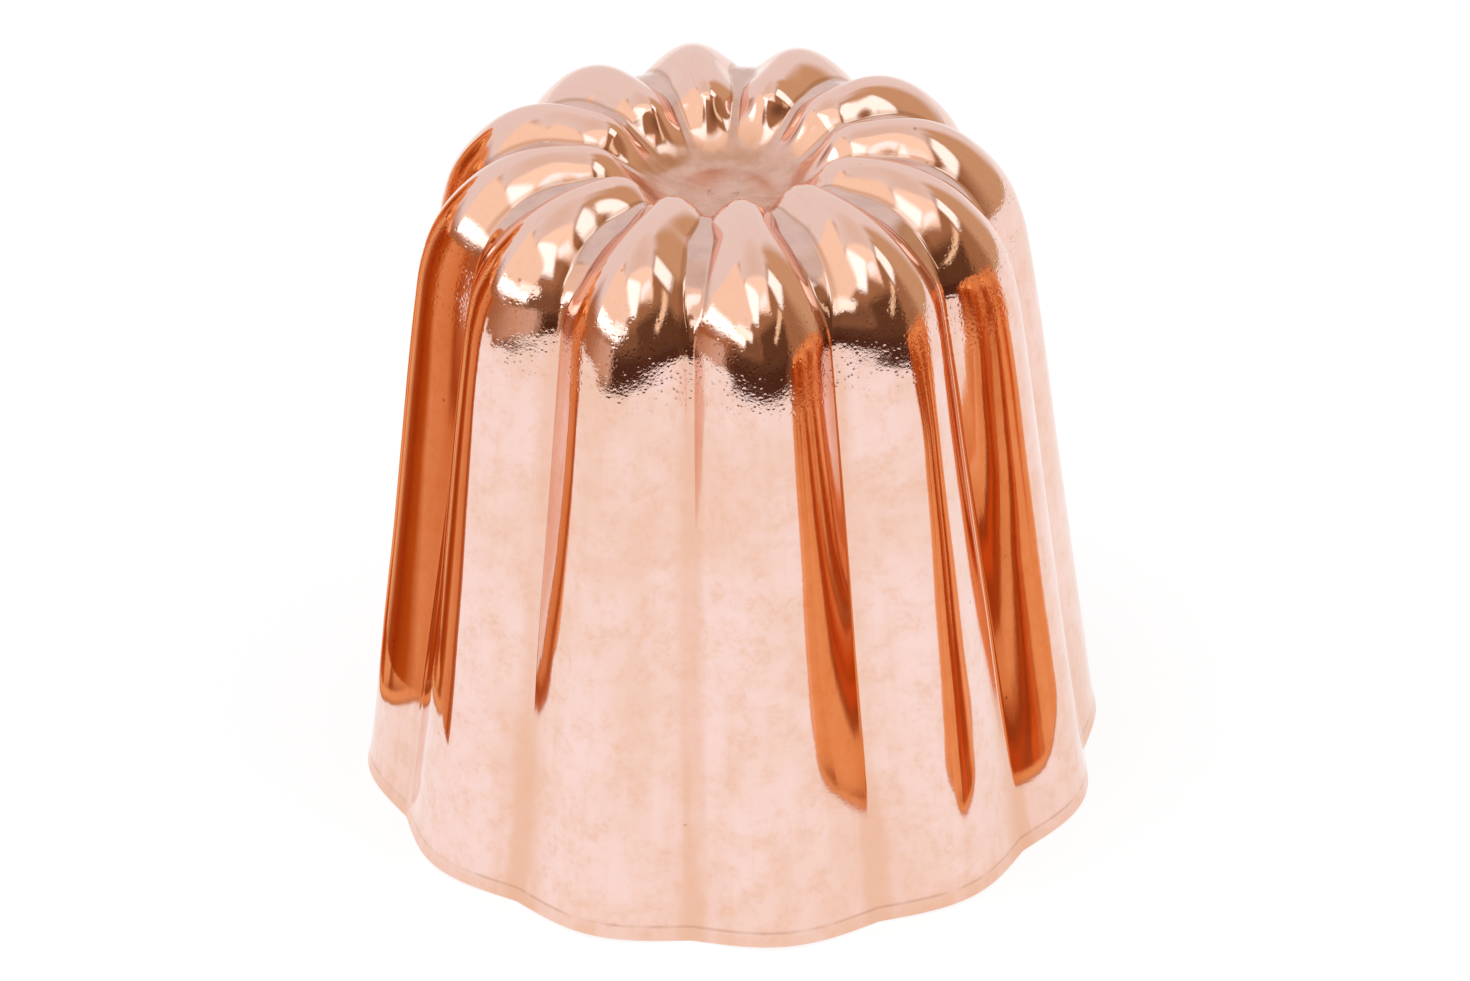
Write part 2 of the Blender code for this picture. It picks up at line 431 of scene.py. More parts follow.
    def _unevenness(self, angle: Array, length: Array) -> Array:
        """Sine waves of the drawn sheet, and bell-shaped ridges down single lobes. Both fade out at the rim.

        Args:
            angle: (rows, columns) angles round the mould.
            length: length of each row.

        Returns:
            (rows, columns) heights.
        """
        wall_end = self.line.span(Stretch.WALL)[1]
        turns, along, phase, tall = self.WAVES.T[:, :, None, None]
        waves = tall * np.sin(turns * angle + 2 * math.pi * along * length[:, None] + phase)
        fade = eased(length / self.WAVES_RISE) * eased((self.line.length[-1] - length) / self.WAVES_FALL)
        middle, half_width, proud = self.PROUD_CRESTS.T[:, :, None, None]
        apart = (angle - middle + math.pi) % (2 * math.pi) - math.pi
        crests = proud * np.exp(-((apart / half_width) ** 2))
        held = eased(length / self.CREST_RISE) * eased((wall_end - length) / self.CREST_FALL)
        return waves.sum(axis=0) * fade[:, None] + crests.sum(axis=0) * held[:, None]

    @staticmethod
    def _across(points: Array) -> Array:
        """Unit vectors square to a closed grid: the cross product of its differences round and along.

        Args:
            points: (rows, columns, 3) positions, whose last row is one point on the axis.

        Returns:
            (rows, columns, 3) vectors that point out.
        """
        round_ = np.roll(points, -1, axis=1) - np.roll(points, 1, axis=1)
        along = np.gradient(points, axis=0)
        across = np.cross(round_, along)
        across /= np.maximum(np.linalg.norm(across, axis=-1, keepdims=True), np.finfo(float).tiny)
        across[-1] = (0.0, 0.0, 1.0)
        return across


def skin_rows(outer: Array, inner: Array) -> Array:
    """What two grids hold at a skin's vertices: the inner one from its pole, then the outer to its pole."""
    rows = np.concatenate([inner[::-1], outer])
    return np.concatenate([rows[0, :1], *rows[1:-1], rows[-1, :1]])


def skin_faces(rows: int, columns: int) -> list[list[int]]:
    """Faces of a skin from pole to pole, which point out of the sheet.

    A known fault: each fan starts one ring too far from its pole. It spans the second ring and meets at a
    vertex of the first. So the band between the two is covered twice, the first ring's edge is open, and the
    pole is loose.

    Args:
        rows: rows of both grids together. The first and the last are one vertex each.
        columns: vertices in each of the other rows.

    Returns:
        Vertex numbers of each face: quads between the rows, and a fan of triangles near each pole.
    """
    here = np.arange(columns)
    ahead = (here + 1) % columns
    row = 1 + np.arange(rows - 3)[:, None] * columns
    quads = np.stack([row + here, row + ahead, row + columns + ahead, row + columns + here], axis=-1)
    first, last = 1, 1 + (rows - 3) * columns
    second, last_but_one = first + columns, last - columns
    first_fan = np.column_stack([np.full(columns, first), second + ahead, second + here])
    last_fan = np.column_stack([last_but_one + here, last_but_one + ahead, np.full(columns, last)])
    return [*quads.reshape(-1, 4).tolist(), *last_fan.tolist(), *first_fan.tolist()]


def smooth_object(name: str, vertices: Array, faces: list[list[int]]) -> Object:
    """A smooth-shaded mesh object at the origin.

    Args:
        name: the object's name.
        vertices: (n, 3) positions.
        faces: vertex numbers of each face.

    Returns:
        The new object, linked to the scene.
    """
    mesh = bpy.data.meshes.new(name)
    mesh.from_pydata(vertices.tolist(), [], faces)
    mesh.update()
    mesh.validate()
    mesh.polygons.foreach_set("use_smooth", np.ones(len(mesh.polygons), dtype=bool))
    obj = bpy.data.objects.new(name, mesh)
    bpy.context.scene.collection.objects.link(obj)
    return obj


def add_values(obj: Object, name: str, values: Array) -> None:
    """Stores one number for each vertex as a named attribute."""
    attribute = obj.data.attributes.new(name, "FLOAT", "POINT")
    attribute.data.foreach_set("value", np.ascontiguousarray(values, dtype=np.float32))


def fluted_skin(name: str, outer: Grid, inner: Grid) -> Object:
    """One piece between two grids, with the values that its finish reads.

    Args:
        name: the piece's name.
        outer: its outer side, from its edge to a pole.
        inner: its inner side, with as many columns.

    Returns:
        The piece's object.
    """
    faces = skin_faces(len(outer.length) + len(inner.length), outer.side.shape[1])
    piece = smooth_object(name, skin_rows(outer.points, inner.points), faces)
    lengths = [np.broadcast_to(grid.length[:, None], grid.side.shape) for grid in (outer, inner)]
    add_values(piece, "along", skin_rows(*lengths))
    add_values(piece, "side", skin_rows(outer.side, inner.side))
    return piece


# Materials


class Val:
    """A number that nodes work out. Arithmetic on it adds Math nodes."""

    def __init__(self, shade: "Shade", socket: NodeSocket) -> None:
        """Wraps an output socket of some nodes."""
        self.shade, self.socket = shade, socket

    def math(self, operation: str, *others: "Val | float", first: bool = True) -> "Val":
        """Adds one Math node for this value and others, which come before it if first is False."""
        values = (self, *others) if first else (*others, self)
        return self.shade.val(self.shade.node("Math", {"operation": operation}, *values))

    __add__, __radd__ = partialmethod(math, "ADD"), partialmethod(math, "ADD", first=False)
    __sub__, __rsub__ = partialmethod(math, "SUBTRACT"), partialmethod(math, "SUBTRACT", first=False)
    __mul__, __rmul__ = partialmethod(math, "MULTIPLY"), partialmethod(math, "MULTIPLY", first=False)
    __truediv__, size = partialmethod(math, "DIVIDE"), partialmethod(math, "ABSOLUTE")
    least, most = partialmethod(math, "MINIMUM"), partialmethod(math, "MAXIMUM")


@dataclass(frozen=True)
class Blotches:
    """A noise stepped into patches: their size, its octaves and their strength, and the step's ends."""

    size: float
    detail: float
    rough: float
    low: float
    high: float


class Shade:
    """Builds the nodes of a material or a world."""

    def __init__(self, owner: Material | bpy.types.World) -> None:
        """Clears its nodes and keeps its tree.

        Args:
            owner: the material or world.
        """
        owner.use_nodes = True
        self.owner, self.tree = owner, owner.node_tree
        self.tree.nodes.clear()

    def node(
        self, kind: str, settings: dict[str, object] | None = None, *ordered: object, **named: object
    ) -> Node:
        """Adds a node.

        Args:
            kind: the node's type without its ShaderNode prefix.
            settings: the node's own settings. "stops" holds a ramp's (place, colour) pairs.
            ordered: values or links of its first inputs.
            named: those of inputs by name, with spaces written as underscores.

        Returns:
            The node.
        """
        node = self.tree.nodes.new("ShaderNode" + kind)
        for name, value in (settings or {}).items():
            if name == "stops":
                ramp = node.color_ramp.elements
                while len(ramp) < len(value):
                    ramp.new(1.0)
                for element, (place, colour) in zip(ramp, value):
                    element.position, element.color = place, (*colour, 1.0)
            else:
                setattr(node, name, value)
        for slot, value in zip(node.inputs, ordered):
            self.feed(slot, value)
        for name, value in named.items():
            plain = name.replace("_", " ")
            self.feed(next(slot for slot in node.inputs if slot.name == plain and slot.enabled), value)
        return node

    def feed(self, slot: NodeSocket, value: object) -> None:
        """Links or sets one input.

        Args:
            slot: the input.
            value: a Val, a node (its first output), an output socket, a number, a colour or a vector.
        """
        if isinstance(value, Val):
            self.tree.links.new(value.socket, slot)
        elif isinstance(value, Node):
            self.tree.links.new(value.outputs[0], slot)
        elif isinstance(value, NodeSocket):
            self.tree.links.new(value, slot)
        else:
            slot.default_value = (*value, 1.0) if slot.type == "RGBA" else value

    def val(self, node: Node, output: int | str = 0) -> Val:
        """One output of a node as a value."""
        return Val(self, node.outputs[output])

    def attribute(self, name: str) -> Val:
        """A mesh attribute as a value."""
        return self.val(self.node("Attribute", {"attribute_name": name}), "Fac")

    def place(self) -> NodeSocket:
        """Object coordinates."""
        return self.node("TexCoord").outputs["Object"]

    def along_mould(self, reach: float, stretch: float) -> Node:
        """Coordinates that follow the mould: the direction from its axis, and the length along its section.

        The horizontal part of the object coordinates is made one long and scaled to reach. The length along
        the groove line, drawn out by stretch, becomes the height.

        Args:
            reach: radius in metres at which a metre round the mould is a metre in the result.
            stretch: how many times a pattern is drawn out along the section.

        Returns:
            The vector's node.
        """
        flat = self.node("VectorMath", {"operation": "MULTIPLY"}, self.place(), (1.0, 1.0, 0.0))
        ray = self.node("VectorMath", {"operation": "NORMALIZE"}, flat)
        scaled = self.node("VectorMath", {"operation": "SCALE"}, ray, Scale=reach)
        rise = self.node("CombineXYZ", Z=self.attribute("along") / stretch)
        return self.node("VectorMath", {"operation": "ADD"}, scaled, rise)

    def noise(self, where: object, size: float, detail: float = 2.0, rough: float = 0.5) -> Val:
        """Noise of 0 to 1 in patches of a size in metres, with a number of octaves and their strength."""
        node = self.node("TexNoise", Vector=where, Scale=1 / size, Detail=detail, Roughness=rough)
        return self.val(node, "Fac")

    def blotches(self, where: object, look: Blotches) -> Val:
        """Patches of a noise, 0 outside them and 1 inside."""
        return self.ramp(self.noise(where, look.size, look.detail, look.rough), look.low, look.high)

    def spots(self, where: object, size: float) -> Val:
        """Distance to the nearest of points strewn about as far apart as the size, in sizes."""
        return self.val(self.node("TexVoronoi", Vector=where, Scale=1 / size), "Distance")

    def ramp(self, value: Val, low: float, high: float, below: float = 0.0, above: float = 1.0) -> Val:
        """A smooth step of a value between low and high, from what it is below to what it is above."""
        ends = {"From_Min": low, "From_Max": high, "To_Min": below, "To_Max": above}
        return self.val(self.node("MapRange", {"interpolation_type": "SMOOTHSTEP"}, Value=value, **ends))

    def fall(self, value: Val, low: float, high: float) -> Val:
        """A smooth step of a value from 1 down to 0."""
        return self.ramp(value, low, high, 1.0, 0.0)

    def between(self, value: Val, rise: Span, fall: Span) -> Val:
        """1 between a smooth step up and a smooth step down, and 0 outside them."""
        return self.ramp(value, *rise) * self.fall(value, *fall)

    def mix(self, share: Val | float, first: object, second: object) -> NodeSocket:
        """Mixes two colours, with a share of the second."""
        return self.node("Mix", {"data_type": "RGBA"}, Factor=share, A=first, B=second).outputs[2]

    def dot(self, vector: object, axis: Vector) -> Val:
        """The length of a vector along an axis."""
        return self.val(self.node("VectorMath", {"operation": "DOT_PRODUCT"}, vector, axis), "Value")

    def bump(self, height: Val, distance: float, normal: Node | None = None) -> Node:
        """A normal bumped by a height of 0 to 1, in distances in metres, on top of another normal."""
        below = {} if normal is None else {"Normal": normal}
        return self.node("Bump", Height=height, Distance=distance, Strength=1.0, **below)

    def finish(self, shader: Node, output: str = "OutputMaterial") -> Material | bpy.types.World:
        """Puts a shader on the surface, and gives the material or world back."""
        self.node(output, Surface=shader)
        return self.owner


@dataclass(frozen=True)
class CopperFinish:
    """Hand-polished copper: bright and even, with mottling, tan grooves, marks of use and painted shade."""

    name: str = "polished_copper"
    rosy: Colour = (0.930, 0.672, 0.618)
    peach: Colour = (0.880, 0.582, 0.470)
    clear: Colour = (0.940, 0.640, 0.545)
    # Tan is used for real strokes and patches, and also for painted shade near the shoulder and at the rim's
    # edge.
    tan: Colour = (0.820, 0.470, 0.320)
    dull: Colour = (0.640, 0.430, 0.370)
    seam: Colour = (0.500, 0.270, 0.180)
    dish_shade: Colour = (0.660, 0.370, 0.250)
    # Painted shade of the dish.
    speck: Colour = (0.300, 0.150, 0.100)
    rough_wall: float = 0.075
    rough_end: float = 0.045
    rough_dish: float = 0.220
    least_rough: float = 0.03
    smear_rough: float = 0.05

    # Patterns on the metal, and those drawn out along the wall: cloth strokes and die marks.
    cloud: Blotches = Blotches(8.0 * MM, 3.0, 0.55, 0.38, 0.64)
    mottle: Blotches = Blotches(1.9 * MM, 4.0, 0.62, 0.38, 0.66)
    curdle: Blotches = Blotches(0.55 * MM, 2.0, 0.60, 0.40, 0.70)
    grain_patch: Blotches = Blotches(2.2 * MM, 2.0, 0.50, 0.46, 0.60)
    peel_patch: Blotches = Blotches(3.2 * MM, 2.0, 0.50, 0.36, 0.62)
    speck_patch: Blotches = Blotches(5.0 * MM, 1.0, 0.50, 0.56, 0.60)
    stroke: Blotches = Blotches(0.60 * MM, 3.0, 0.60, 0.54, 0.78)
    broad_stroke: Blotches = Blotches(2.4 * MM, 2.0, 0.50, 0.42, 0.66)
    wear: Blotches = Blotches(2.0 * MM, 2.0, 0.50, 0.36, 0.58)
    drawn_reach: float = 22.0 * MM
    drawn_stretch: float = 12.0
    scored_stretch: float = 60.0
    smeared_stretch: float = 5.0
    smear_size: float = 1.5 * MM
    score_size: float = 0.14 * MM
    peel_size: float = 0.20 * MM
    dent_size: float = 2.6 * MM
    pit_size: float = 0.40 * MM
    speck_gap: float = 2.6 * MM

    # Where things are, as lengths along the section from the rim.
    shoulder: Span = (42.0 * MM, 50.0 * MM)
    dish: Span = (58.5 * MM, 61.0 * MM)
    # Painted shade darkens the wall over the next span, towards the shoulder.
    upper_wall_shade: Span = (20.0 * MM, 40.0 * MM)
    low_wall: Span = (10.0 * MM, 17.0 * MM)
    # The painted shade along the rim's edge fades out over the next span.
    edge: Span = (0.5 * MM, 1.7 * MM)
    hem: float = 1.15 * MM
    hem_line: Span = (0.05 * MM, 0.16 * MM)
    grain: tuple[Span, Span] = ((39.5 * MM, 42.0 * MM), (44.5 * MM, 48.0 * MM))
    peel: tuple[Span, Span] = ((39.0 * MM, 42.5 * MM), (44.0 * MM, 48.0 * MM))
    scored_end: Span = (50.0 * MM, 56.0 * MM)

    # Where things are across a lobe, from 0 at its middle to 1 at its crease.
    groove: Span = (0.80, 0.98)
    wide_groove: Span = (0.55, 1.0)
    strip: Span = (0.95, 0.99)
    crease: tuple[Span, Span] = ((0.86, 0.93), (0.95, 0.985))

    dent_depth: float = 8.0e-6
    peel_depth: float = 11.0e-6
    score_depth: float = 0.8e-6

    def _colour(self, shade: Shade, along: Val, side: Val, polished: Val, dish: Val) -> NodeSocket:
        """The copper's colour: a rosy ground under peach clouds, tan strokes and grooves, dull strips and
        specks.

        Painted shade darkens the wall towards the shoulder, the rim's edge and the dish.

        Args:
            shade: the material's nodes.
            along: length from the rim.
            side: 0 at a lobe's middle to 1 at its crease.
            polished: 0 on the wall to 1 on the closed end.
            dish: 0 outside the dish to 1 on its floor.

        Returns:
            The colour's socket.
        """
        place = shade.place()
        drawn = shade.along_mould(self.drawn_reach, self.drawn_stretch)
        wall = 1 - polished * 0.75
        cloud, mottle = shade.blotches(place, self.cloud), shade.blotches(place, self.mottle)
        broad, worn = shade.blotches(drawn, self.broad_stroke), shade.blotches(drawn, self.wear)
        curdle, stroke = shade.blotches(place, self.curdle), shade.blotches(drawn, self.stroke)
        upper_shade = shade.ramp(along, *self.upper_wall_shade) * (1 - polished)
        pit = shade.fall(shade.spots(place, self.pit_size), 0.16, 0.30)
        grain = pit * shade.between(along, *self.grain) * shade.blotches(place, self.grain_patch)
        low = shade.ramp(side, *self.wide_groove) * shade.fall(along, *self.low_wall)
        groove = shade.ramp(side, *self.groove) * (1 - polished)
        strip = shade.ramp(side, *self.strip) * polished * (1 - dish)
        crease = shade.between(side, *self.crease) * polished
        hem = shade.fall((along - self.hem).size(), *self.hem_line)
        dot = shade.fall(shade.spots(place, self.speck_gap), 0.030, 0.075)
        layers = (
            ((cloud * 0.50 + mottle * 0.45 + broad * 0.40).least(1.0) * wall, self.peach),
            (polished * 0.85, self.clear),
            (curdle * mottle * wall * 0.42, self.tan),
            (stroke * 0.22 * (1 - dish), self.tan),
            # Painted shade: the wall turns tan towards the shoulder, more strongly under the clouds.
            (upper_shade * (0.06 + 0.16 * cloud), self.tan),
            (grain * 0.45, self.speck),
            (low * worn * 0.55, self.tan),
            (groove * (0.20 + 0.34 * worn), self.tan),
            (strip * (0.42 + 0.30 * mottle), self.dull),
            (crease * 0.55 * (1 - dish), self.seam),
            # Painted reflection of the shadowed floor: a tan band along the rim's edge that fades out 1.7 mm
            # up.
            (shade.fall(along, *self.edge) * (0.28 + 0.40 * broad), self.tan),
            (hem * (0.06 + 0.34 * worn), self.seam),
            # Painted shade: the dish is darkened to a dark tan, more deeply in mottled patches.
            (dish * (0.50 + 0.35 * mottle), self.dish_shade),
            (dot * shade.blotches(place, self.speck_patch) * 0.55, self.speck),
        )
        colour = self.rosy
        for share, layer in layers:
            colour = shade.mix(share, colour, layer)
        return colour

    def _normal(self, shade: Shade, along: Val) -> Node:
        """The copper's fine relief: soft dents, orange peel at the wall's head and faint scoring down it.

        Args:
            shade: the material's nodes.
            along: length from the rim.

        Returns:
            The last bump.
        """
        place = shade.place()
        head = shade.between(along, *self.peel) * (0.30 + 1.00 * shade.blotches(place, self.peel_patch))
        pits = shade.ramp(shade.spots(place, self.pit_size), 0.10, 0.40)
        peel = (shade.noise(place, self.peel_size, 2.0, 0.6) + pits * 0.7) * (0.06 + head)
        drawn = shade.along_mould(self.drawn_reach, self.scored_stretch)
        scored = shade.noise(drawn, self.score_size, 2.0, 0.6)
        normal = shade.bump(shade.noise(place, self.dent_size, 1.0), self.dent_depth)
        normal = shade.bump(peel, self.peel_depth, normal)
        return shade.bump(scored * shade.fall(along, *self.scored_end), self.score_depth, normal)

    def material(self) -> Material:
        """Makes the material.

        Returns:
            The material.
        """
        shade = Shade(bpy.data.materials.new(self.name))
        along = shade.attribute("along")
        polished, dish = shade.ramp(along, *self.shoulder), shade.ramp(along, *self.dish)
        drawn = shade.along_mould(self.drawn_reach, self.smeared_stretch)
        smear = (shade.noise(drawn, self.smear_size, 3.0, 0.6) - 0.5) * self.smear_rough
        rough = self.rough_wall + (self.rough_end - self.rough_wall) * polished
        rough = rough + (self.rough_dish - self.rough_end) * dish + smear * (1 - dish)
        return shade.finish(shade.node(
            "BsdfPrincipled", Base_Color=self._colour(shade, along, shade.attribute("side"), polished, dish),
            Metallic=1.0, Roughness=rough.most(self.least_rough), Normal=self._normal(shade, along),
        ))


@dataclass(frozen=True)
class TinFinish:
    """Wiped tin: soft grey, with the strokes of the cloth that spread it while it was molten."""

    name: str = "wiped_tin"
    pale: Colour = (0.760, 0.750, 0.725)
    grey: Colour = (0.560, 0.555, 0.545)
    warm: Colour = (0.640, 0.545, 0.450)
    rough: float = 0.30
    wiped_reach: float = 20.0 * MM
    wiped_stretch: float = 7.0
    stroke_size: float = 1.3 * MM
    pool_size: float = 5.0 * MM
    frost_size: float = 0.5 * MM
    edge: Span = (0.8 * MM, 2.6 * MM)
    stroke_depth: float = 30.0e-6
    pool_depth: float = 60.0e-6
    frost_depth: float = 6.0e-6

    def material(self) -> Material:
        """Makes the material.

        Returns:
            The material.
        """
        shade = Shade(bpy.data.materials.new(self.name))
        place, drawn = shade.place(), shade.along_mould(self.wiped_reach, self.wiped_stretch)
        stroke = shade.noise(drawn, self.stroke_size, 4.0, 0.6)
        pool = shade.noise(place, self.pool_size, 3.0, 0.5)
        frost = shade.noise(place, self.frost_size, 2.0, 0.5)
        edge = shade.fall(shade.attribute("along"), *self.edge)
        colour = shade.mix(shade.ramp(stroke, 0.35, 0.70), self.grey, self.pale)
        colour = shade.mix(shade.ramp(pool, 0.55, 0.75) * 0.5, colour, self.grey)
        colour = shade.mix(edge * shade.ramp(stroke, 0.35, 0.60) * 0.6, colour, self.warm)
        normal = shade.bump(pool, self.pool_depth, shade.bump(stroke, self.stroke_depth))
        return shade.finish(shade.node(
            "BsdfPrincipled", Base_Color=colour, Metallic=1.0,
            Roughness=self.rough + (stroke - 0.5) * 0.22 + (frost - 0.5) * 0.10,
            Normal=shade.bump(frost, self.frost_depth, normal),
        ))


# Pieces


@dataclass
class CopperSheet:
    """The mould's copper: one skin with a rounded cut edge and a fine hem line just above it."""

    form: FlutedForm
    finish: CopperFinish = field(default_factory=CopperFinish)
    rows: RowCounts = field(default_factory=RowCounts)
    name: str = "fluted_copper_sheet"
    thickness: float = 1.1 * MM
    edge_round: float = 0.28 * MM
    hem_height: float = 1.05 * MM
    hem_width: float = 0.20 * MM
    hem_depth: float = 0.012 * MM
    inner_share: int = 3

    def _edge_inset(self, height: Array) -> Array:
        """How far the edge draws in: a quarter circle from the rim's plane up to its radius."""
        short = np.clip(self.edge_round - height, 0.0, None)
        return self.edge_round - np.sqrt(self.edge_round**2 - short**2)

    def _lengths(self) -> tuple[Array, Array]:
        """Lays the outer rows out.

        Returns:
            The rows' lengths along the groove line, and their insets.
        """
        rows, line = self.rows, self.form.line
        turn = np.linspace(math.pi / 2, 0.0, rows.edge + 1)
        edge = self.edge_round * (1 - np.sin(turn))
        flare_top = line.sizes.flare_height
        near = self.hem_height + self.hem_width * np.linspace(-2.0, 2.0, rows.hem - 4)
        hem = np.concatenate([[edge[-1] * 1.5], near, [self.hem_height * 1.6, flare_top * 0.8, flare_top]])
        heights = np.concatenate([edge, hem])
        below = line.at_height_on_wall(heights)
        dip = self.hem_depth * np.exp(-(((heights - self.hem_height) / self.hem_width) ** 2))
        inset = self._edge_inset(heights) + dip
        counts = [rows.wall, rows.shoulder, rows.end, rows.lip, rows.cone, rows.dish, rows.floor]
        spans = [line.span(stretch) for stretch in Stretch]
        spans[0] = (float(below[-1]), spans[0][1])
        above = [np.linspace(start, end, count + 1)[1:] for (start, end), count in zip(spans, counts)]
        length = np.concatenate([below, *above])
        return length, np.concatenate([inset, np.zeros(len(length) - len(inset))])

    def build(self) -> Object:
        """Makes the sheet and dresses it.

        Returns:
            The sheet's object.
        """
        length, inset = self._lengths()
        outer = self.form.surface(length, inset, np.ones(len(length)), True)
        edge_rows = self.rows.edge + 1
        body = np.concatenate([length[:edge_rows], length[edge_rows + 1:-1:self.inner_share], length[-1:]])
        drawn_in = self.thickness - self._edge_inset(self.form.line.at(body)[1])
        sheet = fluted_skin(self.name, outer, self.form.inside(body, drawn_in))
        sheet.data.materials.append(self.finish.material())
        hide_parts("copper_shell")
        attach(sheet, "root")
        return sheet


@dataclass
class TinCoat:
    """The lining: a thin skin inside the copper whose wiped edge thins out just above the rim."""

    form: FlutedForm
    finish: TinFinish = field(default_factory=TinFinish)
    name: str = "wiped_tin_coat"
    outer_depth: float = 1.13 * MM
    inner_depth: float = 1.80 * MM
    edge_height: float = 0.6 * MM
    edge_thickness: float = 0.05 * MM
    feather: float = 2.4 * MM
    feather_rows: int = 10
    wall_rows: int = 30
    end_rows: int = 60

    def build(self) -> Object:
        """Makes the coat and dresses it.

        Returns:
            The coat's object.
        """
        line = self.form.line
        start = float(line.at_height_on_wall(np.array(self.edge_height)))
        wall_end = line.span(Stretch.WALL)[1]
        length = np.concatenate([
            np.linspace(start, start + self.feather, self.feather_rows),
            np.linspace(start + self.feather, wall_end, self.wall_rows)[1:],
            np.linspace(wall_end, line.length[-1], self.end_rows)[1:],
        ])
        thin = self.outer_depth + self.edge_thickness
        inner_depth = thin + (self.inner_depth - thin) * eased((length - start) / self.feather)
        outer = self.form.inside(length, np.full(len(length), self.outer_depth))
        coat = fluted_skin(self.name, outer, self.form.inside(length, inner_depth))
        coat.data.materials.append(self.finish.material())
        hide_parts("tin_lining")
        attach(coat, "root")
        return coat


# Stage


@dataclass(frozen=True)
class StageFrame:
    """The stage's own frame: x to the right and y away from the camera, turned about the mould's axis.

    Azimuths on the stage are in degrees, and run from the camera's side, plus to the right.
    """

    turn: float = math.radians(-7.68)

    def matrix(self) -> Matrix:
        """Takes the stage's frame to the model's."""
        return Matrix.Rotation(self.turn, 4, "Z")

    def points(self, points: Array) -> Array:
        """Takes points of the stage to the model's frame."""
        return points @ np.array(self.matrix().to_3x3()).T


STAGE = StageFrame()


def hide_from_camera(obj: Object) -> None:
    """Leaves an object to glossy rays only."""
    for kind in ("camera", "diffuse", "shadow", "transmission", "volume_scatter"):
        setattr(obj, "visible_" + kind, False)


@dataclass(frozen=True)
class Viewpoint:
    """The camera, at the photograph's viewing angle."""

    distance: float = 400.0 * MM
    elevation: float = math.radians(31.46)
    roll: float = math.radians(-1.109)
    centre_height: float = 25.0 * MM
    aim: tuple[float, float, float] = (0.432 * MM, 0.0, 21.348 * MM)
    lens: float = 135.585
    sensor: float = 36.0
    clip: Span = (0.02, 20.0)

    def build(self) -> None:
        """Makes the camera and gives it to the scene."""
        data = bpy.data.cameras.new("viewpoint")
        data.sensor_width, data.lens = self.sensor, self.lens
        data.clip_start, data.clip_end = self.clip
        camera = bpy.data.objects.new("viewpoint", data)
        bpy.context.scene.collection.objects.link(camera)
        reach, rise = math.cos(self.elevation), math.sin(self.elevation)
        place = Vector((0.0, -self.distance * reach, self.centre_height + self.distance * rise))
        facing = (Vector(self.aim) - place).to_track_quat("-Z", "Y").to_matrix().to_4x4()
        rolled = facing @ Matrix.Rotation(self.roll, 4, "Z")
        camera.matrix_world = STAGE.matrix() @ Matrix.Translation(place) @ rolled
        bpy.context.scene.camera = camera


@dataclass(frozen=True)
class GlowPanel:
    """A curved upright panel round part of the mould, seen only in its polish.

    The stops colour the panel from its first azimuth to its second.
    """

    name: str
    radius: float
    azimuths: tuple[float, float]
    foot: float
    head: float
    stops: Stops
    columns: int = 60

    def build(self) -> None:
        """Makes the panel."""
        angle = np.radians(np.linspace(*self.azimuths, self.columns) - 90)
        ring = self.radius * np.column_stack([np.cos(angle), np.sin(angle)])
        rows = [np.column_stack([ring, np.full(self.columns, height)]) for height in (self.foot, self.head)]
        here = np.arange(self.columns - 1)
        faces = np.column_stack([here + 1, here, here + self.columns, here + self.columns + 1]).tolist()
        panel = smooth_object(self.name, STAGE.points(np.concatenate(rows)), faces)
        add_values(panel, "across", np.tile(np.linspace(0.0, 1.0, self.columns), 2))
        shade = Shade(bpy.data.materials.new(self.name))
        glow = shade.node("ValToRGB", {"stops": self.stops}, shade.attribute("across"))
        panel.data.materials.append(shade.finish(shade.node("Emission", Color=glow, Strength=1.0)))
        hide_from_camera(panel)


@dataclass(frozen=True)
class CopperBounce:
    """A fluted copper form beside the mould, seen only in its polish, that warms its sides."""

    name: str
    centre: tuple[float, float]
    colour: Colour = (0.66, 0.35, 0.14)
    glow: Colour = (0.22, 0.034, 0.003)
    rough: float = 0.18
    scale: float = 1.0
    wall: float = 1.0 * MM
    rows: int = 70

    def build(self, form: FlutedForm) -> None:
        """Makes the form from the mould's own outer face, moved aside.

        Args:
            form: the mould's outer face.
        """
        length = np.linspace(0.0, form.line.length[-1], self.rows)
        plain = np.ones(self.rows)
        outer = form.surface(length, 0 * plain, plain, False)
        inner = form.surface(length, self.wall * plain, 0 * plain, False)
        vertices = self.scale * skin_rows(outer.points, inner.points) + np.array([*self.centre, 0.0])
        faces = skin_faces(2 * self.rows, outer.side.shape[1])
        bounce = smooth_object(self.name, STAGE.points(vertices), faces)
        shade = Shade(bpy.data.materials.new(self.name))
        bounce.data.materials.append(shade.finish(shade.node(
            "BsdfPrincipled", Base_Color=self.colour, Metallic=1.0, Roughness=self.rough,
            Emission_Color=self.glow, Emission_Strength=1.0,
        )))
        hide_from_camera(bounce)


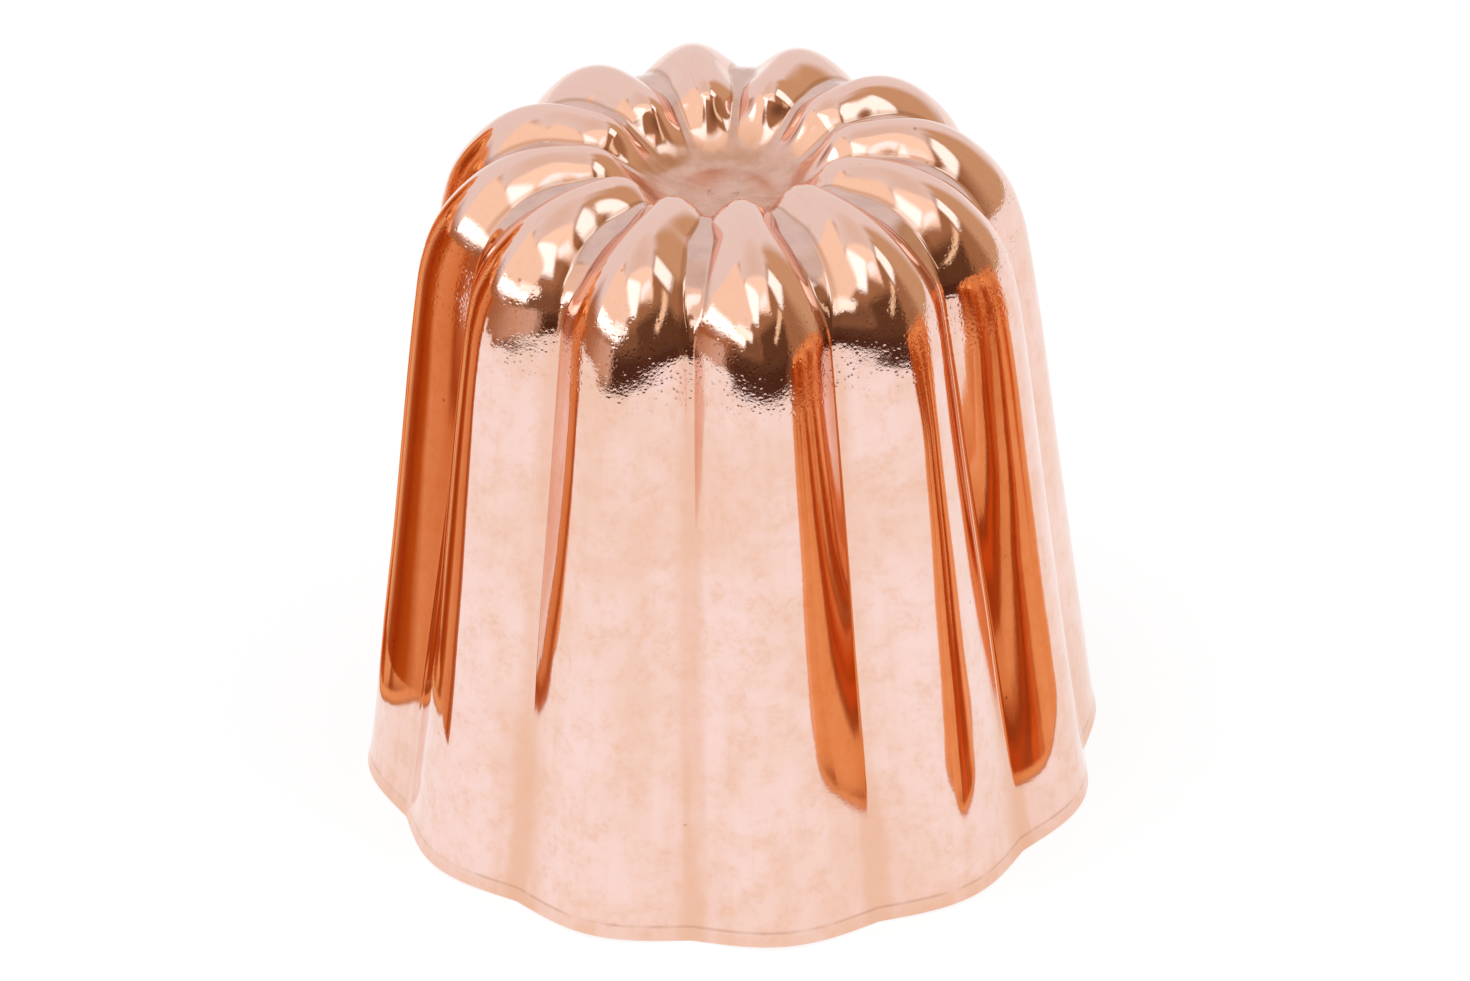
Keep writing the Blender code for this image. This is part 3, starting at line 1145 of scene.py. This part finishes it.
@dataclass(frozen=True)
class SoftLamp:
    """A soft rectangular lamp that points at the mould, with its azimuth and elevation in degrees."""

    name: str
    azimuth: float
    elevation: float
    width: float
    height: float
    radiance: float
    distance: float = 0.60
    target: tuple[float, float, float] = (0.0, 0.0, 0.03)

    def build(self) -> None:
        """Makes the lamp."""
        data = bpy.data.lights.new(self.name, "AREA")
        data.shape = "RECTANGLE"
        data.size, data.size_y = self.width, self.height
        data.energy = self.radiance * 4 * self.width * self.height
        lamp = bpy.data.objects.new(self.name, data)
        bpy.context.scene.collection.objects.link(lamp)
        angle, rise = math.radians(self.azimuth - 90), math.radians(self.elevation)
        ray = Vector((math.cos(rise) * math.cos(angle), math.cos(rise) * math.sin(angle), math.sin(rise)))
        place = Vector(self.target) + ray * self.distance
        facing = ray.to_track_quat("Z", "Y").to_matrix().to_4x4()
        lamp.matrix_world = STAGE.matrix() @ Matrix.Translation(place) @ facing
        lamp.visible_camera = lamp.visible_glossy = False


@dataclass(frozen=True)
class PaleFloor:
    """The floor: white to the camera and in polish, with the mould's shadow on it."""

    half_size: float = 3.0
    glow: float = 0.84
    shade_share: float = 0.24
    matt: Colour = (0.80, 0.80, 0.80)

    def build(self) -> None:
        """Makes the floor in the rim's plane."""
        half = self.half_size
        corners = np.array([[-half, -half, 0.0], [half, -half, 0.0], [half, half, 0.0], [-half, half, 0.0]])
        floor = smooth_object("pale_floor", STAGE.points(corners), [[0, 1, 2, 3]])
        shade = Shade(bpy.data.materials.new("pale_floor"))
        path = shade.node("LightPath")
        kinds = ("Camera", "Glossy", "Transmission")
        camera, glossy, through = (shade.val(path, "Is %s Ray" % kind) for kind in kinds)
        shaded = shade.node("BsdfDiffuse", Color=(self.shade_share,) * 3)
        glow = shade.node("Emission", Color=(1.0, 1.0, 1.0), Strength=self.glow)
        seen, matt = shade.node("AddShader", None, shaded, glow), shade.node("BsdfDiffuse", Color=self.matt)
        either = (camera + glossy + through).least(1.0)
        floor.data.materials.append(shade.finish(shade.node("MixShader", None, either, matt, seen)))


@dataclass(frozen=True)
class RoomPatch:
    """A stretch of the room's walls with soft edges, in degrees."""

    azimuth: float
    elevation: float
    half_width: float
    half_height: float
    soft: float
    colour: Colour


@dataclass(frozen=True)
class RoomCard(RoomPatch):
    """A flat soft-edged rectangle of the room that faces the mould, such as the front of a softbox."""

    roll: float = 0.0

    def axes(self) -> tuple[Vector, Vector, Vector]:
        """The card's directions.

        Returns:
            Those of its middle, of its right side and of its top.
        """
        angle, rise, roll = (math.radians(value) for value in (self.azimuth, self.elevation, self.roll))
        middle = Vector((math.sin(angle) * math.cos(rise), -math.cos(angle) * math.cos(rise), math.sin(rise)))
        level = Vector((math.cos(angle), math.sin(angle), 0.0))
        top = level.cross(middle)
        top = -top if top.z < 0 else top
        return (
            middle,
            level * math.cos(roll) + top * math.sin(roll),
            top * math.cos(roll) - level * math.sin(roll),
        )


@dataclass(frozen=True)
class RoomLight:
    """The world: white to the camera, even and plain on matt surfaces, and a soft warm room in polish."""

    fill: float = 0.42
    least_depth: Span = (0.05, 0.10)
    stops: Stops = (
        (0.00, (0.86, 0.84, 0.84)),
        (0.93, (0.86, 0.84, 0.84)),
        (1.00, (0.80, 0.70, 0.62)),
    )
    bands: tuple[RoomPatch, ...] = (
        RoomPatch(24.0, 22.0, 84.0, 40.0, 7.0, (0.38, 0.20, 0.10)),
        RoomPatch(-80.0, 4.0, 36.0, 18.0, 6.0, (0.42, 0.17, 0.07)),
        RoomPatch(114.0, 24.0, 22.0, 36.0, 9.0, (0.62, 0.42, 0.25)),
        RoomPatch(5.0, 4.0, 54.0, 15.0, 8.0, (0.11, 0.05, 0.028)),
    )
    cards: tuple[RoomCard, ...] = (
        RoomCard(33.0, 27.0, 25.0, 16.0, 5.0, (0.13, 0.06, 0.028)),
        RoomCard(-14.0, 28.0, 16.0, 9.0, 6.0, (0.22, 0.11, 0.055)),
        RoomCard(6.0, 66.0, 24.0, 12.0, 3.0, (1.10, 0.94, 0.78)),
        RoomCard(-20.0, 57.0, 15.0, 10.0, 2.5, (1.40, 1.60, 1.65)),
        RoomCard(30.0, 58.0, 8.0, 3.0, 2.0, (1.20, 1.35, 1.40)),
        RoomCard(-84.0, 50.0, 12.0, 9.0, 4.0, (0.60, 0.42, 0.28)),
        RoomCard(-62.0, 44.0, 30.0, 17.0, 3.0, (1.02, 0.86, 0.70)),
        RoomCard(-60.0, 30.0, 28.0, 4.5, 2.0, (2.00, 2.15, 2.20), roll=5.0),
        RoomCard(-30.0, 36.0, 13.0, 4.0, 2.0, (1.40, 1.45, 1.40)),
        RoomCard(82.0, 50.0, 8.0, 10.0, 2.5, (1.30, 1.45, 1.45)),
        RoomCard(50.0, 36.0, 14.0, 2.5, 2.0, (1.00, 0.80, 0.55), roll=30.0),
    )

    def _band_share(self, shade: Shade, azimuth: Val, elevation: Val, band: RoomPatch) -> Val:
        """How much of a band lies in each direction, 0 to 1.

        Args:
            shade: the world's nodes.
            azimuth: the direction's azimuth in degrees.
            elevation: its elevation in degrees.
            band: the band.

        Returns:
            The product of a soft step in azimuth and one in elevation.
        """
        apart = (azimuth - band.azimuth).math("WRAP", 180.0, -180.0).size()
        level = (elevation - band.elevation).size()
        across = shade.fall(apart, band.half_width - band.soft, band.half_width + band.soft)
        return across * shade.fall(level, band.half_height - band.soft, band.half_height + band.soft)

    def _card_share(self, shade: Shade, way: Node, card: RoomCard) -> Val:
        """How much of a card lies in each direction, 0 to 1.

        Args:
            shade: the world's nodes.
            way: the direction in the stage's frame.
            card: the card.

        Returns:
            The product of soft steps in the two distances from the card's middle, in the card's plane.
        """
        ahead, aside, above = (shade.dot(way, axis) for axis in card.axes())
        depth = ahead.most(self.least_depth[0])
        soft = math.tan(math.radians(card.soft))
        share = shade.ramp(ahead, *self.least_depth)
        for distance, half in ((aside, card.half_width), (above, card.half_height)):
            edge = math.tan(math.radians(half))
            share = share * shade.fall(distance.size() / depth, edge - soft, edge + soft)
        return share

    def build(self) -> None:
        """Sets the scene's world: the room in polish, a plain fill on matt surfaces, white to the camera."""
        shade = Shade(bpy.data.worlds.new("room_light"))
        path = shade.node("LightPath")
        sky = shade.node("TexCoord").outputs["Generated"]
        way = shade.node("VectorRotate", {"rotation_type": "Z_AXIS"}, Angle=-STAGE.turn, Vector=sky)
        split = shade.node("SeparateXYZ", Vector=way)
        rise = shade.val(split, "Z")
        azimuth = shade.val(split, "X").math("ARCTAN2", 0.0 - shade.val(split, "Y")) * math.degrees(1.0)
        elevation = rise.math("ARCSINE") * math.degrees(1.0)
        room = shade.node("ValToRGB", {"stops": self.stops}, Fac=rise * 0.5 + 0.5)
        for band in self.bands:
            room = shade.mix(self._band_share(shade, azimuth, elevation, band), room, band.colour)
        for card in self.cards:
            room = shade.mix(self._card_share(shade, way, card), room, card.colour)
        colour = shade.mix(shade.val(path, "Is Glossy Ray"), (self.fill,) * 3, room)
        colour = shade.mix(shade.val(path, "Is Camera Ray"), colour, (1.0, 1.0, 1.0))
        background = shade.node("Background", Color=colour, Strength=1.0)
        bpy.context.scene.world = shade.finish(background, "OutputWorld")


@dataclass
class Studio:
    """Everything round the mould: floor, room, lamps, panels and bounce forms."""

    floor: PaleFloor = field(default_factory=PaleFloor)
    room: RoomLight = field(default_factory=RoomLight)
    lamps: tuple[SoftLamp, ...] = (
        SoftLamp("overhead_lamp", -58.0, 68.0, width=0.45, height=0.28, radiance=2.2),
        SoftLamp("right_lamp", 70.0, 60.0, width=0.30, height=0.30, radiance=1.6),
    )
    panels: tuple[GlowPanel, ...] = (
        GlowPanel("dark_apron", 345.0 * MM, (-64.0, 66.0), 0.5 * MM, 75.0 * MM, (
            (0.00, (0.42, 0.17, 0.07)),
            (0.18, (0.08, 0.03, 0.016)),
            (0.84, (0.08, 0.03, 0.016)),
            (1.00, (0.36, 0.18, 0.08)),
        )),
        GlowPanel("near_blush_panel", 36.0 * MM, (-26.0, -64.0), 41.5 * MM, 51.0 * MM, (
            (0.00, (0.20, 0.09, 0.05)),
            (0.12, (0.70, 0.50, 0.40)),
            (0.42, (0.66, 0.42, 0.30)),
            (0.75, (0.46, 0.23, 0.13)),
            (1.00, (0.42, 0.17, 0.07)),
        )),
        GlowPanel("near_copper_panel", 34.0 * MM, (-65.0, -104.0), 5.5 * MM, 49.0 * MM, (
            (0.00, (0.62, 0.20, 0.06)),
            (0.07, (0.40, 0.07, 0.012)),
            (0.13, (0.72, 0.25, 0.08)),
            (0.36, (0.80, 0.33, 0.13)),
            (0.44, (0.50, 0.10, 0.01)),
            (0.60, (0.36, 0.045, 0.005)),
            (0.74, (0.42, 0.08, 0.012)),
            (0.90, (0.86, 0.42, 0.19)),
        )),
    )
    bounces: tuple[CopperBounce, ...] = (
        CopperBounce("copper_bounce_left", (-60.0 * MM, 24.0 * MM), scale=1.20),
        CopperBounce("copper_bounce_right", (58.0 * MM, -28.0 * MM)),
    )

    def build(self, form: FlutedForm) -> None:
        """Sets the stage up and reports its lamps, panels and bounce forms.

        Args:
            form: the mould's outer face, which the bounce forms share.
        """
        self.floor.build()
        self.room.build()
        for item in (*self.lamps, *self.panels):
            item.build()
            LOG.info("stage %s", item.name)
        for bounce in self.bounces:
            bounce.build(form)
            LOG.info("stage %s", bounce.name)


@dataclass
class CaneleMould:
    """The whole mould: its copper sheet and the tin coat inside it."""

    groove: GrooveSizes = field(default_factory=GrooveSizes)
    lobes: LobeSizes = field(default_factory=LobeSizes)

    def __post_init__(self) -> None:
        """Works the shared form out."""
        self.form = FlutedForm(GrooveLine(self.groove), self.lobes)

    def build(self) -> list[Object]:
        """Makes both pieces.

        Returns:
            The pieces' objects.
        """
        return [CopperSheet(self.form).build(), TinCoat(self.form).build()]


def main() -> None:
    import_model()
    bpy.context.scene.view_settings.view_transform = "Standard"
    mould = CaneleMould()
    for piece in mould.build():
        triangles = sum(len(polygon.vertices) - 2 for polygon in piece.data.polygons)
        LOG.info("piece %s: %d triangles", piece.name, triangles)
    Studio().build(mould.form)
    Viewpoint().build()


if __name__ == "__main__":
    main()
